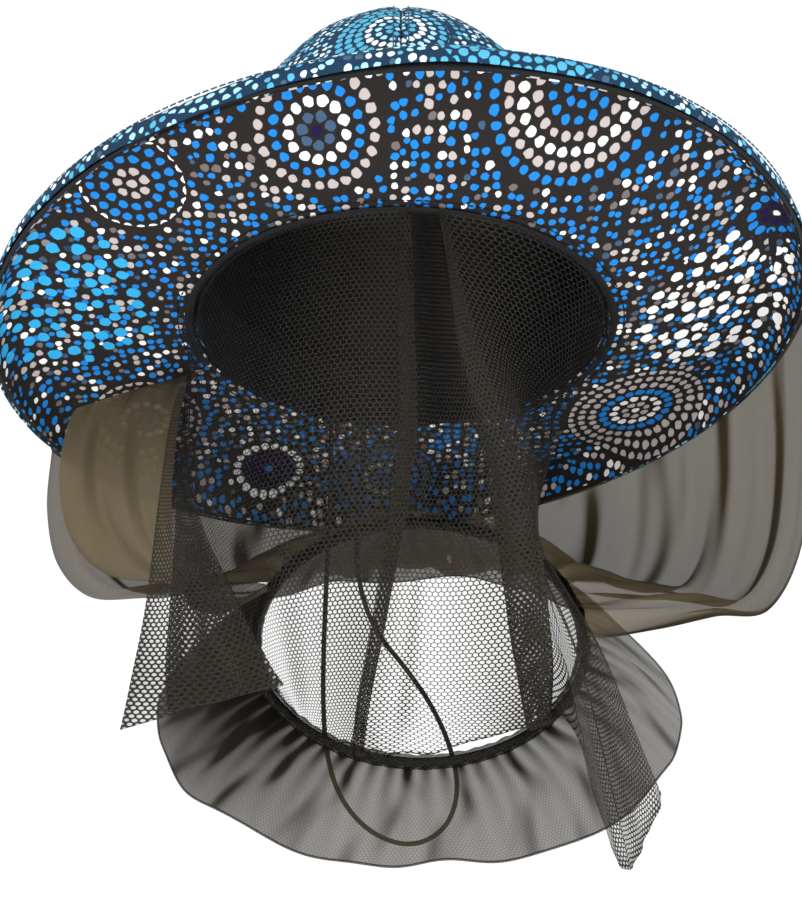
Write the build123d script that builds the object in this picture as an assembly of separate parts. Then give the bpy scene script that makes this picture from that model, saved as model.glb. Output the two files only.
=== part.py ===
"""Wide-brimmed cloth hat with a sewn-on insect net veil, as it sits on an upright head.

Millimetres. The origin is the middle of the head opening, +Z is up and the face looks towards -Y.
Turns are measured round the hat from the face (0) towards +X (90) and the nape (180).
"""
from build123d import *
import os
from math import asin, atan2, cos, degrees, hypot, pi, radians, sin, tan

os.makedirs("parts", exist_ok=True)

# Hat
HAT_TILT = 24.0             # degrees that the hat is worn back, face side up
OPENING_WIDTH = 172.0       # inside the sweatband, ear to ear
OPENING_LENGTH = 190.0      # inside the sweatband, forehead to nape
CROWN_HEIGHT = 149.0
CROWN_PANELS = 6
BRIM_WIDTH = 86.0           # opening edge to lip
LIP_RADIUS = 18.0           # turned-down rim
DROOP_ALL_ROUND = -6.5      # how far the rim hangs below the opening's plane, before the two below
DROOP_TO_NAPE = 12.0        # added at the nape, taken off at the face
DROOP_TO_LEFT = 14.0        # added at -X, taken off at +X

# Cloth
CROWN_CLOTH = 1.4
LINING_CLOTH = 0.6
SWEATBAND_CLOTH = 1.6
SWEATBAND_HEIGHT = 32.0
BRIM_CLOTH = 1.0
INTERLINING_CLOTH = 1.4
TAPE_CLOTH = 0.8
TAPE_WIDTH = 7.0           # folded over the rim
SEAM_TAPE_WIDTH = 3.6      # round the opening
NET_CLOTH = 0.8
PLY_GAP = 0.2               # left between plies that lie on each other
HANG_GAP = 0.6              # left between a hanging panel and what it hangs from

# Collar, skirt and cord
NECK_WIDTH = 144.0
NECK_LENGTH = 180.0
NECK_TILT = 29.0            # degrees, face side down
NECK_MIDDLE = Vector(8.0, 18.0, -134.0)
CASING_RADIUS = 3.2
CASING_CLOTH = 0.6
ELASTIC_WIDTH = 3.6
ELASTIC_THICKNESS = 1.2
HEM_WIDTH = 228.0
HEM_LENGTH = 244.0
HEM_TILT = 22.0
HEM_DROP = 31.0             # hem middle below collar middle
HEM_RADIUS = 1.2
SKIRT_SWELL = 2.0           # how far the skirt bows up between collar and hem
CORD_DIAMETER = 2.3
TAB_SIZE = (8.0, 2.4, 14.0)
TAB_DROP = 8.0              # how far a cord tab hangs below the brim's upper face

# Veil
FRONT_LEFT_TURN = -108.0    # where the front panel starts on the head opening
FRONT_RIGHT_TURN = 150.0    # where it ends, behind the edge of the back panel
BACK_RIGHT_TURN = 85.0      # where the back panel starts on the rim
BACK_LEFT_TURN = 248.0      # where it ends, level with the front panel's start
BELLY_BACK = -116.0         # lowest level of the back panel at the nape
BELLY_SIDE = -5.0           # added at the sides

# Where the plies lie, outwards from the inside of the sweatband
LINING_IN = SWEATBAND_CLOTH + PLY_GAP
LINING_OUT = LINING_IN + LINING_CLOTH
CROWN_IN = LINING_OUT + PLY_GAP
CROWN_OUT = CROWN_IN + CROWN_CLOTH

# Where the brim's plies lie, down from its upper face
INTERLINING_TOP = BRIM_CLOTH + PLY_GAP
UNDERSIDE_TOP = INTERLINING_TOP + INTERLINING_CLOTH + PLY_GAP
BRIM_THICKNESS = UNDERSIDE_TOP + BRIM_CLOTH

HOOP_POINTS = 28
HOOP_TURNS = [2 * pi * i / HOOP_POINTS for i in range(HOOP_POINTS)]


def turns(first, last, count):
    """Evenly spaced turns in radians, from first to last degrees."""
    return [radians(first + (last - first) * i / (count - 1)) for i in range(count)]


def between(a, b, share):
    return a + (b - a) * share


# ---------------------------------------------------------------- places

def worn(x, y, z):
    """A point of the level hat, tilted back as the hat is worn."""
    c, s = cos(radians(HAT_TILT)), sin(radians(HAT_TILT))
    return Vector(x, y * c + z * s, z * c - y * s)


def hat_point(reach, height, turn):
    """A point outwards from the opening's edge; beyond the crown's foot the brim droops more and more."""
    droop = DROOP_ALL_ROUND - DROOP_TO_NAPE * cos(turn) - DROOP_TO_LEFT * sin(turn)
    share = max(reach - CROWN_OUT, 0.0) / (BRIM_WIDTH - CROWN_OUT)
    x = (OPENING_WIDTH / 2 + reach) * sin(turn)
    y = -(OPENING_LENGTH / 2 + reach) * cos(turn)
    return worn(x, y, height - droop * share ** 1.5)


def dome_point(reach, level, turn):
    """A point of the crown: level is 0 at the brim and a quarter turn at the top."""
    x = (OPENING_WIDTH / 2 + reach) * sin(turn) * cos(level)
    y = -(OPENING_LENGTH / 2 + reach) * cos(turn) * cos(level)
    height = CROWN_HEIGHT - CROWN_OUT + reach
    return worn(x, y, PLY_GAP + height * sin(level))


def collar_point(reach, height, turn):
    """A point near the collar, outwards from and above its middle line."""
    c, s = cos(radians(NECK_TILT)), sin(radians(NECK_TILT))
    y = -(NECK_LENGTH / 2 + reach) * cos(turn)
    x = (NECK_WIDTH / 2 + reach) * sin(turn)
    return NECK_MIDDLE + Vector(x, y * c - height * s, y * s + height * c)


def hem_point(reach, height, turn):
    """A point near the skirt's hem, outwards from and above its middle line."""
    c, s = cos(radians(HEM_TILT)), sin(radians(HEM_TILT))
    y = -(HEM_LENGTH / 2 + reach) * cos(turn)
    x = (HEM_WIDTH / 2 + reach) * sin(turn)
    middle = NECK_MIDDLE - Vector(0, 0, HEM_DROP)
    return middle + Vector(x, y * c - height * s, y * s + height * c)


# ---------------------------------------------------------------- ways to make a ply

def hoop_solid(hoops):
    """A closed ring: hoops are rows of points, in order round the ring's section."""
    edges = [Edge.make_spline(row, periodic=True) for row in hoops]
    skins = [Face.make_surface_from_curves(a, b) for a, b in zip(edges, edges[1:] + edges[:1])]
    return Solid(Shell(skins))


def strip_solid(outer, inner):
    """A ply with two free ends: rows of points from its top edge to its bottom edge, outside and inside."""
    rows = outer + inner[::-1]
    edges = [Edge.make_spline(row) for row in rows]
    skins = [Face.make_surface_from_curves(a, b) for a, b in zip(edges, edges[1:] + edges[:1])]
    for end in (0, -1):
        for out_a, out_b, in_a, in_b in zip(outer, outer[1:], inner, inner[1:]):
            outside = Edge.make_line(out_a[end], out_b[end])
            inside = Edge.make_line(in_a[end], in_b[end])
            skins.append(Face.make_surface_from_curves(outside, inside))
    return Solid(Shell(skins))


def ply_ring(section, place):
    """A ring whose section is a polygon of (reach, height) points."""
    return hoop_solid([[place(reach, height, t) for t in HOOP_TURNS] for reach, height in section])


def thickened(rows, thickness):
    """The rows moved inwards, square to the ply that they describe."""
    moved = []
    for i, row in enumerate(rows):
        above, below = rows[max(i - 1, 0)], rows[min(i + 1, len(rows) - 1)]
        line = []
        for j, point in enumerate(row):
            along = row[min(j + 1, len(row) - 1)] - row[max(j - 1, 0)]
            down = below[j] - above[j]
            line.append(point + along.cross(down).normalized() * thickness)
        moved.append(line)
    return moved


# ---------------------------------------------------------------- hat

DOME_LEVELS = [radians(v) for v in (0, 7, 14, 28, 42, 56, 69, 80, 88.5)]


def crown_panel(number):
    """One gore of the crown, from the brim to the top, a gap short of the next one."""
    width = 360.0 / CROWN_PANELS
    gap = 0.15
    spread = turns(number * width + gap, (number + 1) * width - gap, 7)
    outer = [[dome_point(CROWN_OUT, v, t) for t in spread] for v in DOME_LEVELS]
    inner = [[dome_point(CROWN_IN, v, t) for t in spread] for v in DOME_LEVELS]
    return strip_solid(outer, inner)


def crown_lining():
    outer = [[dome_point(LINING_OUT, v, t) for t in HOOP_TURNS] for v in DOME_LEVELS]
    inner = [[dome_point(LINING_IN, v, t) for t in HOOP_TURNS] for v in DOME_LEVELS]
    return hoop_solid(outer + inner[::-1])


def sweatband():
    low, high = -BRIM_THICKNESS, SWEATBAND_HEIGHT - BRIM_THICKNESS
    lean = OPENING_LENGTH / 2 * (1 - cos(asin(high / CROWN_HEIGHT))) + 2 * PLY_GAP
    section = [(0, low), (SWEATBAND_CLOTH, low), (SWEATBAND_CLOTH - lean, high), (-lean, high)]
    return ply_ring(section, hat_point)


def brim_section(depth):
    """The brim's section at a depth below its upper face: flat, then turned down at the lip."""
    flat = BRIM_WIDTH - LIP_RADIUS
    radius = LIP_RADIUS - depth
    run = [(between(CROWN_IN, flat, share), -depth) for share in (0, 0.35, 0.7)]
    lip = [(flat + radius * sin(a), radius * cos(a) - LIP_RADIUS) for a in turns(0, 90, 4)]
    return run + lip


def brim_ply(top, thickness):
    return ply_ring(brim_section(top) + brim_section(top + thickness)[::-1], hat_point)


# ---------------------------------------------------------------- veil

FRONT_TURNS = turns(FRONT_LEFT_TURN, FRONT_RIGHT_TURN, 21)
BACK_TURNS = turns(BACK_RIGHT_TURN, BACK_LEFT_TURN, 15)
SEAM_REACH = CROWN_IN + SEAM_TAPE_WIDTH / 2       # where the front panel is sewn, under the brim
NET_TOP = -(BRIM_THICKNESS + HANG_GAP)
FRONT_SHARES = (0.0, 0.12, 0.3, 0.5, 0.7, 0.87, 1.0)
COLLAR_SEAM = CASING_RADIUS + HANG_GAP


def front_line(turn):
    """Points down the front panel at one turn, from the head opening to the collar."""
    top = hat_point(SEAM_REACH, NET_TOP - TAPE_CLOTH - HANG_GAP, turn)
    foot = collar_point(-NET_CLOTH, COLLAR_SEAM, turn)
    line = []
    for share in FRONT_SHARES:
        inwards = share ** 2.2
        line.append(Vector(between(top.X, foot.X, inwards),
                           between(top.Y, foot.Y, inwards),
                           between(top.Z, foot.Z, share)))
    return line


def back_line(turn):
    """Points down the back panel at one turn, from the rim, round its belly, to the collar."""
    top = hat_point(BRIM_WIDTH + HANG_GAP + NET_CLOTH, TAPE_WIDTH - LIP_RADIUS, turn)
    rim = hat_point(BRIM_WIDTH + HANG_GAP + NET_CLOTH, -LIP_RADIUS - HANG_GAP, turn)
    foot = collar_point(1.5 * NET_CLOTH, COLLAR_SEAM, turn)
    belly = BELLY_BACK + BELLY_SIDE * abs(sin(turn))
    line = [top, rim]
    for inwards, drop, rise in ((-0.03, 0.5, 0), (0.04, 0.85, 0), (0.22, 1, 0), (0.55, 1, 0.4),
                                (0.8, 1, 0.8), (0.92, 1, 1), (1, 1, 1)):
        level = between(between(rim.Z, belly, drop), foot.Z, rise)
        line.append(Vector(between(rim.X, foot.X, inwards), between(rim.Y, foot.Y, inwards), level))
    return line


def panel(lines, thickness=NET_CLOTH):
    """A panel from its lines: each line runs down the panel, and they follow each other round it."""
    rows = [list(row) for row in zip(*lines)]
    return strip_solid(rows, thickened(rows, thickness))


def gusset():
    """Closes the left side between the front panel's edge and the back panel's edge."""
    turn = radians((FRONT_LEFT_TURN + BACK_LEFT_TURN - 360) / 2)
    front, back = front_line(radians(FRONT_LEFT_TURN - 1.5)), back_line(radians(BACK_LEFT_TURN + 1.5))[1:]
    flat = BRIM_WIDTH - LIP_RADIUS
    shares = (0, 0.25, 0.5, 0.75, 1)
    rows = [[hat_point(between(SEAM_REACH + SEAM_TAPE_WIDTH, flat, u), NET_TOP - HANG_GAP, turn) for u in shares]]
    for a, b in list(zip(front, back))[1:]:
        rows.append([between(a, b, u * 0.94 + 0.03) for u in shares[::-1]][::-1])
    return strip_solid(rows, thickened(rows, NET_CLOTH))


def front_binding():
    """The tape that holds the front panel's top edge under the brim."""
    edges = (CROWN_IN + PLY_GAP, CROWN_IN + PLY_GAP + SEAM_TAPE_WIDTH)
    top = [[hat_point(reach, NET_TOP, t) for t in FRONT_TURNS] for reach in edges]
    low = [[hat_point(reach, NET_TOP - TAPE_CLOTH, t) for t in FRONT_TURNS] for reach in edges]
    return strip_solid(top, low)


def back_binding():
    """The tape round the rim that holds the back panel's top edge."""
    inside = BRIM_WIDTH + HANG_GAP + NET_CLOTH + PLY_GAP
    levels = (TAPE_WIDTH - LIP_RADIUS, -LIP_RADIUS)
    outer = [[hat_point(inside + TAPE_CLOTH, level, t) for t in BACK_TURNS] for level in levels]
    inner = [[hat_point(inside, level, t) for t in BACK_TURNS] for level in levels]
    return strip_solid(outer, inner)


# ---------------------------------------------------------------- collar and skirt

def casing():
    """The tunnel for the elastic, folded over it and open at the seam on top."""
    outside = [(CASING_RADIUS * sin(a), CASING_RADIUS * cos(a)) for a in turns(20, 340, 11)]
    radius = CASING_RADIUS - CASING_CLOTH
    inside = [(radius * sin(a), radius * cos(a)) for a in turns(20, 340, 11)]
    return ply_ring(outside + inside[::-1], collar_point)


def elastic():
    x, y = ELASTIC_THICKNESS / 2, ELASTIC_WIDTH / 2
    return ply_ring([(-x, -y), (x, -y), (x, y), (-x, y)], collar_point)


def skirt_half(middle):
    """Half of the flared skirt below the collar, centred on one turn."""
    spread = turns(middle - 89.8, middle + 89.8, 13)
    rows = []
    for share in (0, 0.3, 0.65, 1):
        row = []
        for t in spread:
            top = collar_point(NET_CLOTH, -COLLAR_SEAM, t)
            hem = hem_point(0, HEM_RADIUS + NET_CLOTH, t)
            row.append(between(top, hem, share) + Vector(0, 0, SKIRT_SWELL * sin(pi * share)))
        rows.append(row)
    return strip_solid(rows, thickened(rows, NET_CLOTH))


def skirt_hem():
    section = [(HEM_RADIUS * sin(a), HEM_RADIUS * cos(a) - HEM_RADIUS) for a in turns(0, 300, 6)]
    return ply_ring(section, hem_point)


# ---------------------------------------------------------------- cord

def tab_point(turn_from_nape, height):
    """The middle of a tab sewn flat inside the sweatband, at a height, with the tab's yaw in degrees."""
    turn = pi + radians(turn_from_nape)
    x, y = OPENING_WIDTH / 2 * sin(turn), -OPENING_LENGTH / 2 * cos(turn)
    out_x, out_y = x / OPENING_WIDTH ** 2, y / OPENING_LENGTH ** 2
    inset = (TAB_SIZE[1] / 2 + 2 * HANG_GAP) / hypot(out_x, out_y)
    yaw = degrees(atan2(-out_x, out_y))
    return worn(x - out_x * inset, y - out_y * inset, height), yaw


def cord_tab(turn_from_nape):
    """A tab sewn flat inside the sweatband, its lower end hanging just below the brim."""
    middle, yaw = tab_point(turn_from_nape, TAB_SIZE[2] / 2 - TAB_DROP)
    return Location(middle, (-HAT_TILT, 0, yaw)) * Box(*TAB_SIZE)


LEFT_TAB_TURN, RIGHT_TAB_TURN = 23.3, 12.1   # degrees from the nape towards -X
HANGING_CORD = [
    (-33.0, 71.9, -57.1), (-33.2, 71.3, -78.0), (-34.6, 71.0, -106.0), (-36.2, 71.4, -139.0),
    (-36.9, 71.0, -171.0), (-35.4, 70.6, -198.0), (-28.6, 70.2, -219.5), (-14.0, 70.0, -235.5),
    (5.0, 69.6, -241.5), (21.0, 69.8, -233.5), (27.4, 70.2, -216.5), (24.2, 70.6, -196.0),
    (14.6, 71.0, -174.5), (0.5, 71.6, -155.0), (-10.5, 72.0, -142.5), (-18.0, 72.2, -126.0),
    (-21.6, 72.6, -104.0), (-20.0, 73.6, -80.0), (-17.6, 75.8, -58.6),
]


def cord_radii(points):
    """The largest arc that each corner's two runs allow."""
    radii = []
    for before, here, after in zip(points, points[1:], points[2:]):
        half_turn = radians((here - before).get_angle(after - here)) / 2
        shorter = min((here - before).length, (after - here).length)
        radii.append(0.45 * shorter / tan(half_turn))
    return radii


def chin_cord():
    ends = [tab_point(turn, -TAB_DROP - PLY_GAP)[0] for turn in (LEFT_TAB_TURN, RIGHT_TAB_TURN)]
    points = [ends[0], *(Vector(*p) for p in HANGING_CORD), ends[1]]
    radii = cord_radii(points)
    path = FilletPolyline(*points, radius=radii)
    start = Plane(origin=points[0], z_dir=points[1] - points[0])
    tube = sweep(start * Circle(CORD_DIAMETER / 2), path=path)
    section = pi * (CORD_DIAMETER / 2) ** 2
    print("cord radii", [round(r, 1) for r in radii])
    print("cord length", round(path.length, 1), "volume share", round(tube.volume / section / path.length, 4))
    return tube


# ---------------------------------------------------------------- all nodes

PARTS = {f"crown_panel_{n + 1}": crown_panel(n) for n in range(CROWN_PANELS)}
PARTS |= {
    "crown_lining": crown_lining(),
    "sweatband": sweatband(),
    "brim_top": brim_ply(0, BRIM_CLOTH),
    "brim_interlining": brim_ply(INTERLINING_TOP, INTERLINING_CLOTH),
    "brim_underside": brim_ply(UNDERSIDE_TOP, BRIM_CLOTH),
    "front_binding": front_binding(),
    "back_binding": back_binding(),
    "veil_front_panel": panel([front_line(t) for t in FRONT_TURNS]),
    "veil_back_panel": panel([back_line(t) for t in BACK_TURNS]),
    "veil_side_gusset": gusset(),
    "neck_casing": casing(),
    "neck_elastic": elastic(),
    "skirt_front": skirt_half(0),
    "skirt_back": skirt_half(180),
    "skirt_hem": skirt_hem(),
    "cord_tab_left": cord_tab(LEFT_TAB_TURN),
    "cord_tab_right": cord_tab(RIGHT_TAB_TURN),
    "chin_cord": chin_cord(),
}

for name, solid in PARTS.items():
    export_step(solid, f"parts/{name}.step")
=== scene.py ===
"""Looks of a wide-brimmed cloth hat with a sewn-on insect net veil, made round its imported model.

Turns are measured round the hat from the face (0) towards +X (90) and the nape (180). Millimetres are
turned to metres by the place functions.
"""
import bpy
import numpy as np
from math import cos, pi, radians, sin, sqrt
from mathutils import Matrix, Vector


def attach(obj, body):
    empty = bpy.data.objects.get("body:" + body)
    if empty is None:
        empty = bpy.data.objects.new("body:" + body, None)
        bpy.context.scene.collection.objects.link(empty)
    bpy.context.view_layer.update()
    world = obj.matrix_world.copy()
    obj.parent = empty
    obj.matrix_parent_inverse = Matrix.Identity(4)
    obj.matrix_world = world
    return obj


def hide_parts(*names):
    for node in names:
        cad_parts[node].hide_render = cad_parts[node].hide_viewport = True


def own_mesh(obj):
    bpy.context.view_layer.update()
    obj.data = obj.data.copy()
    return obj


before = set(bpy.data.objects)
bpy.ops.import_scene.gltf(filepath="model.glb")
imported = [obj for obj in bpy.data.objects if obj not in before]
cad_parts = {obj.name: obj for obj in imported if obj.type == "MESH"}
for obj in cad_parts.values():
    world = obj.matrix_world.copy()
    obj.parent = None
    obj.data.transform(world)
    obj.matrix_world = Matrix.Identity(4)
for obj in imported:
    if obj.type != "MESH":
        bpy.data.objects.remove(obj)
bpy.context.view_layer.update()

MM = 0.001

# Sizes shared with the model, millimetres
HAT_TILT = radians(24)
OPENING = np.array((86.0, 95.0))
CROWN_HEIGHT = 149.0
CROWN_PANELS = 6
BRIM_WIDTH = 86.0
LIP_RADIUS = 18.0
DROOP = (-6.5, 12.0, 14.0)          # all round, to the nape, to the left
CROWN_IN, CROWN_OUT = 2.6, 4.0
LINING_IN = 1.8
BRIM_THICKNESS = 3.8
BRIM_CLOTH = 1.0
NECK_HALF = np.array((72.0, 90.0))
NECK_TILT = radians(29)
NECK_MIDDLE = np.array((8.0, 18.0, -134.0))
CASING_RADIUS = 3.2
HEM_HALF = np.array((114.0, 122.0))
HEM_TILT = radians(22)
HEM_DROP = 31.0
FRONT_TURNS = (-108, 150)           # where the front panel starts and ends, degrees
BACK_TURNS = (85, 248)              # where the back panel starts and ends

# For laying cloth flat, so that its print and threads keep their size
CROWN_SPREAD = 100.0                # millimetres out from the crown's middle
CLOTH_LENGTH = 0.6                  # metres round the lining and the sweatband


# ---------------------------------------------------------------- places

def turned(x, y, z, angle):
    """Points turned about X, as arrays stacked along the last axis."""
    c, s = np.cos(angle), np.sin(angle)
    return np.stack(np.broadcast_arrays(x, y * c - z * s, y * s + z * c), axis=-1)


def hat(reach, height, turn):
    """A place on the hat, outwards from the opening's edge; the brim droops beyond the crown's foot."""
    droop = DROOP[0] - DROOP[1] * np.cos(turn) - DROOP[2] * np.sin(turn)
    share = np.maximum(reach - CROWN_OUT, 0.0) / (BRIM_WIDTH - CROWN_OUT)
    x = (OPENING[0] + reach) * np.sin(turn)
    y = -(OPENING[1] + reach) * np.cos(turn)
    return turned(x, y, height - droop * share ** 1.5, -HAT_TILT) * MM


def dome(reach, level, turn):
    """A place on the crown, level 0 at the brim and a quarter turn at the top."""
    x = (OPENING[0] + reach) * np.sin(turn) * np.cos(level)
    y = -(OPENING[1] + reach) * np.cos(turn) * np.cos(level)
    height = (CROWN_HEIGHT - CROWN_OUT + reach) * np.sin(level)
    return turned(x, y, height + 0.2, -HAT_TILT) * MM


def collar(reach, height, turn):
    x = (NECK_HALF[0] + reach) * np.sin(turn)
    y = -(NECK_HALF[1] + reach) * np.cos(turn)
    return (NECK_MIDDLE + turned(x, y, height, NECK_TILT)) * MM


def hem(reach, height, turn):
    x = (HEM_HALF[0] + reach) * np.sin(turn)
    y = -(HEM_HALF[1] + reach) * np.cos(turn)
    return (NECK_MIDDLE - (0, 0, HEM_DROP) + turned(x, y, height, HEM_TILT)) * MM


def all_round(count):
    """Turns evenly all round, without the last one, which is the first again."""
    return np.linspace(0, 2 * pi, count + 1)[:-1]


def curve_through(points, count):
    """A smooth row of count points through a few points (Catmull-Rom), spread evenly between them."""
    points = np.asarray(points, float)
    padded = np.concatenate([2 * points[:1] - points[1:2], points, 2 * points[-1:] - points[-2:-1]])
    place = np.linspace(0, len(points) - 1, count)
    i = np.minimum(place.astype(int), len(points) - 2)
    t = (place - i).reshape((-1,) + (1,) * (points.ndim - 1))
    a, b, c, d = (padded[i + k] for k in range(4))
    return 0.5 * (2 * b + (c - a) * t + (2 * a - 5 * b + 4 * c - d) * t ** 2
                  + (3 * b - a - 3 * c + d) * t ** 3)


# ---------------------------------------------------------------- camera, light and stage

def make_camera():
    camera = bpy.data.objects.new("camera", bpy.data.cameras.new("camera"))
    camera.location = (0.0, -0.740, -0.0542)
    camera.rotation_euler = (pi / 2, 0, 0)
    camera.data.sensor_fit = "HORIZONTAL"
    camera.data.sensor_width = 36.0
    camera.data.lens = 77.25
    camera.data.clip_start = 0.01
    bpy.context.collection.objects.link(camera)
    bpy.context.scene.camera = camera


def area_light(name, place, aim, size, power):
    data = bpy.data.lights.new(name, "AREA")
    data.shape, data.size, data.energy = "DISK", size, power
    light = bpy.data.objects.new(name, data)
    light.location = place
    light.rotation_euler = (Vector(aim) - Vector(place)).to_track_quat("-Z", "Y").to_euler()
    bpy.context.collection.objects.link(light)


def make_stage():
    world = bpy.data.worlds.new("studio")
    world.use_nodes = True
    world.node_tree.nodes["Background"].inputs["Color"].default_value = (1.0, 1.0, 0.995, 1)
    world.node_tree.nodes["Background"].inputs["Strength"].default_value = 1.05
    bpy.context.scene.world = world
    bpy.context.scene.view_settings.view_transform = "Standard"
    area_light("key", (-0.9, -1.2, 1.3), (0, 0, -0.05), 1.2, 16)
    area_light("fill", (1.3, -1.0, 0.2), (0, 0, -0.05), 1.2, 8)
    area_light("low", (0.0, -1.0, -0.45), (0, 0.0, 0.0), 0.9, 6)
    floor = grid("floor", np.stack(np.meshgrid(np.linspace(-9, 9, 5), np.linspace(9, -9, 5)) +
                                   [np.full((5, 5), -0.62)], axis=-1))
    floor.data.materials.append(surface("matte_white_paper", "#FFFFFF", 0.9))


# ---------------------------------------------------------------- meshes

def grid(name, points, closed=False, uv=None, gather_and_fold_shading=None):
    """A mesh of quads from rows of points; uv gives metres along the cloth for each point, and the last
    argument how closely a net is drawn together there, from 0 to 1, which also sets its painted fold
    shading."""
    rows, cols = points.shape[:2]
    mesh = bpy.data.meshes.new(name)
    index = np.arange(rows * cols).reshape(rows, cols)
    if closed:
        index = np.concatenate([index, index[:, :1]], axis=1)
    mesh.from_pydata(points.reshape(-1, 3).tolist(), [], corners(index).reshape(-1, 4).tolist())
    if uv is not None:
        layer = mesh.uv_layers.new(name="cloth")
        layer.data.foreach_set("uv", corners(uv).ravel())
    if gather_and_fold_shading is not None:
        drawn = mesh.attributes.new("gather_and_fold_shading", "FLOAT", "POINT")
        drawn.data.foreach_set("value", np.clip(gather_and_fold_shading, 0, 1).ravel())
    mesh.polygons.foreach_set("use_smooth", [True] * len(mesh.polygons))
    mesh.update()
    piece = bpy.data.objects.new(name, mesh)
    bpy.context.collection.objects.link(piece)
    return piece


def corners(rows):
    """Each quad's four corners, in order; a closed grid's uv has one more column than its points."""
    return np.stack([rows[:-1, :-1], rows[1:, :-1], rows[1:, 1:], rows[:-1, 1:]], axis=2)


def cloth_uv(rows, cols, width, length):
    """Metres along a flat piece of cloth, for each point of a grid."""
    return np.stack(np.meshgrid(np.linspace(0, width, cols), np.linspace(length, 0, rows)), axis=-1)


def thick(piece, thickness, offset=-1.0):
    """Gives a piece its cloth's thickness and rounds it."""
    solidify = piece.modifiers.new("cloth", "SOLIDIFY")
    solidify.thickness, solidify.offset = thickness * MM, offset
    solidify.use_even_offset = True
    smooth = piece.modifiers.new("smooth", "SUBSURF")
    smooth.levels = smooth.render_levels = 1
    return piece


def ripple(shape, waves, seed):
    """Smooth seeded ripples over a grid, each wave given as (across, down, height)."""
    rng = np.random.default_rng(seed)
    v, u = np.meshgrid(np.linspace(0, 1, shape[0]), np.linspace(0, 1, shape[1]), indexing="ij")
    total = np.zeros(shape)
    for across, down, height in waves:
        phase, bend = rng.uniform(0, 2 * pi, 2)
        total += height * np.sin(2 * pi * (across * u + down * v) + phase + 0.8 * np.sin(2 * pi * v + bend))
    return total


def normals(points):
    cross = np.cross(np.gradient(points, axis=1), np.gradient(points, axis=0))
    return cross / np.maximum(np.linalg.norm(cross, axis=-1, keepdims=True), 1e-9)


# ---------------------------------------------------------------- materials

def linear(code):
    """An sRGB hex colour as linear RGBA."""
    parts = [int(code[i:i + 2], 16) / 255 for i in (1, 3, 5)]
    return tuple(p / 12.92 if p <= 0.04045 else ((p + 0.055) / 1.055) ** 2.4 for p in parts) + (1.0,)


def add(tree, kind, *values, out=0, named=None, **settings):
    """Adds a node: values fill its inputs in order, named fills them by name; returns one output."""
    node = tree.nodes.new(("ShaderNode" if tree.type == "SHADER" else "GeometryNode") + kind)
    for key, value in settings.items():
        setattr(node, key, value)
    for key, value in [*enumerate(values), *(named or {}).items()]:
        if isinstance(value, bpy.types.NodeSocket):
            tree.links.new(value, node.inputs[key])
        elif value is not None:
            node.inputs[key].default_value = value
    return node.outputs[out]


SHEEN = 0.12              # how much light dull threads throw back, against 0.5 for a smooth plastic
WEAVE_DEPTH = 0.0003      # metres that the threads of a cloth stand up


def surface(name, colour, roughness, height=None, alpha=None, strength=0.25):
    """A material. colour is a hex code, or a function that makes nodes in the material's tree and returns
    their output, as height and alpha are."""
    material = bpy.data.materials.new(name)
    material.use_nodes = True
    tree = material.node_tree
    shader = tree.nodes["Principled BSDF"]
    shader.inputs["Specular IOR Level"].default_value = SHEEN
    shader.inputs["Roughness"].default_value = roughness
    if callable(colour):
        tree.links.new(colour(tree), shader.inputs["Base Color"])
    else:
        shader.inputs["Base Color"].default_value = linear(colour)
    if alpha:
        tree.links.new(alpha(tree), shader.inputs["Alpha"])
    if height:
        bump = add(tree, "Bump", strength, WEAVE_DEPTH, named={"Height": height(tree)})
        tree.links.new(bump, shader.inputs["Normal"])
    return material


def palette(tree, value, stops):
    """A colour picked by a value: stops are (share of the values below it, sRGB code)."""
    colour = add(tree, "ValToRGB", value)
    ramp = colour.node.color_ramp
    ramp.interpolation = "CONSTANT"
    while len(ramp.elements) < len(stops):
        ramp.elements.new(0.5)
    for element, (place, code) in zip(ramp.elements, stops):
        element.position, element.color = place, linear(code)
    return colour


def cloth_place(tree):
    """Millimetres along the cloth, a little uneven, as print bleeds into a weave."""
    uv = add(tree, "UVMap", uv_map="cloth")
    place = add(tree, "VectorMath", uv, (1 / MM, 1 / MM, 0), operation="MULTIPLY")
    wander = add(tree, "TexNoise", out="Color", named={"Vector": place, "Scale": 0.35, "Detail": 1.0})
    offset = add(tree, "VectorMath", wander, (-0.5, -0.5, -0.5), operation="ADD")
    scaled = add(tree, "VectorMath", offset, (1.5, 1.5, 0), operation="MULTIPLY")
    return add(tree, "VectorMath", place, scaled, operation="ADD")


def motif_at(tree, place, motifs):
    """The motif that a place lies in, as (x, y, radius), and how far outside the motifs the place is."""
    chosen, clear = (0.0, 0.0, 0.0), 1000.0
    for x, y, radius in motifs:
        away = add(tree, "VectorMath", place, (x, y, 0), operation="DISTANCE", out="Value")
        outside = add(tree, "Math", away, radius, operation="SUBTRACT")
        inside = add(tree, "Math", outside, 0.0, operation="LESS_THAN")
        chosen = add(tree, "Mix", inside, data_type="VECTOR", out=1,
                     named={4: chosen, 5: (x, y, radius)})
        clear = add(tree, "Math", outside, clear, operation="MINIMUM")
    return chosen, clear


def soft_disc(tree, distance, radius, edge):
    """1 inside a radius, 0 outside it, over a narrow edge."""
    gap = add(tree, "Math", radius, distance, operation="SUBTRACT")
    share = add(tree, "Math", gap, edge, operation="DIVIDE")
    return add(tree, "Math", share, 0.5, operation="ADD", use_clamp=True)


DOTS_TO_A_RING = 6.5      # on the first ring; each further ring has as many more
DOT_EDGE = 0.25           # millimetres over which a dot's edge fades


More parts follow.
